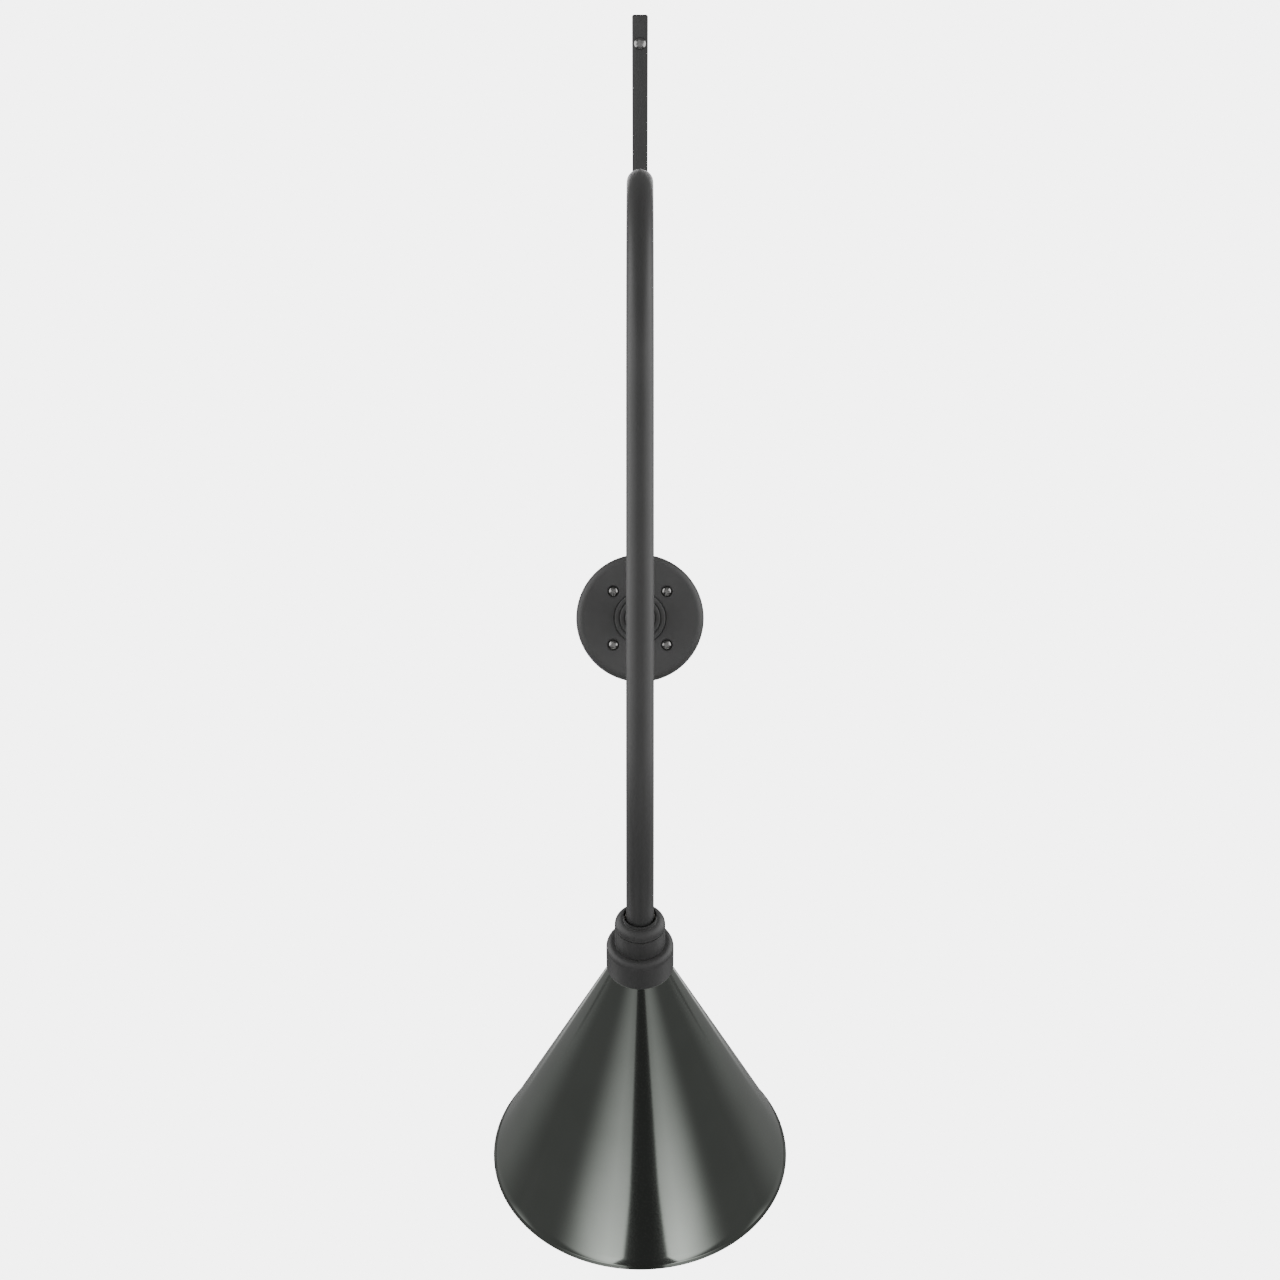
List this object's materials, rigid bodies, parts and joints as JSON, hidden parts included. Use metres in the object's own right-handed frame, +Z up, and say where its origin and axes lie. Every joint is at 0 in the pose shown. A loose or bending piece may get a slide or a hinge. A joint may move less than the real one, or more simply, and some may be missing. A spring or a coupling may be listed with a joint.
{
  "type": "swing arm wall sconce",
  "caption": "Wall sconce with a round plate, a flat wall rail, a tall gooseneck tube that swings on a hidden mast, and a conical metal shade on a ball swivel.",
  "frame": {"origin": "middle of the wall plate's back, on the wall", "axes": "+Z up, wall on the +Y side of the plane y = 0, lamp towards -Y, +X to the right as seen from the room"},
  "size_m": [0.2788, 0.5124, 1.2094],
  "materials": {
    "black_coat": "satin black powder coat",
    "gunmetal": "glossy dark grey-green gunmetal",
    "dark_steel": "blackened",
    "steel": "zinc plated",
    "earth_green": "green",
    "brass": "plain",
    "nylon": "natural nylon",
    "phenolic": "moulded",
    "lead_sheath": "flexible sheath",
    "opal_glass": "opal"
  },
  "bodies": {
    "wall": {"wall_plate": "black_coat", "plate_screw_1": "steel", "plate_screw_2": "steel", "plate_screw_3": "steel", "plate_screw_4": "steel", "mounting_plate": "steel", "box_screw_1": "steel", "box_screw_2": "steel", "ground_screw": "earth_green", "rail": "black_coat", "rail_bolt_1": "steel", "rail_bolt_2": "steel", "rail_spacer": "black_coat", "rail_screw": "steel", "stem_elbow": "black_coat", "stem_nut": "brass", "mast": "steel", "thrust_washer": "nylon", "supply_lead": "lead_sheath"},
    "arm": {"arm_tube": "black_coat", "arm_lead": "lead_sheath", "lower_bush": "brass", "upper_bush": "brass", "retaining_screw": "dark_steel", "swivel_ball": "dark_steel"},
    "swivel": {"swivel_liner": "nylon"},
    "head": {"swivel_cap": "black_coat", "socket_neck": "black_coat", "friction_seat": "nylon", "disc_spring": "steel", "nipple": "brass", "nipple_nut": "brass", "head_lead": "lead_sheath", "shade_cup": "black_coat", "holder_cap": "phenolic", "holder_body": "phenolic", "terminal_screw_1": "brass", "terminal_screw_2": "brass", "holder_shell": "brass", "holder_contact": "brass", "shade_ring": "steel", "shade": "gunmetal", "bulb_cap": "steel", "bulb_glass": "opal_glass"}
  },
  "joints": [
    {"name": "arm_swing", "type": "hinge", "parent": "wall", "child": "arm", "pos_m": [0, -0.08, 0.09], "axis": [0, 0, 1], "range_deg": [-55, 55]},
    {"name": "swivel_turn", "type": "hinge", "parent": "arm", "child": "swivel", "pos_m": [0, -0.42789, -0.2803], "axis": [0, 0.7071, -0.7071], "range_deg": [-170, 170]},
    {"name": "swivel_tilt", "type": "hinge", "parent": "swivel", "child": "head", "pos_m": [0, -0.42789, -0.2803], "axis": [1, 0, 0], "range_deg": [-6, 6]}
  ]
}
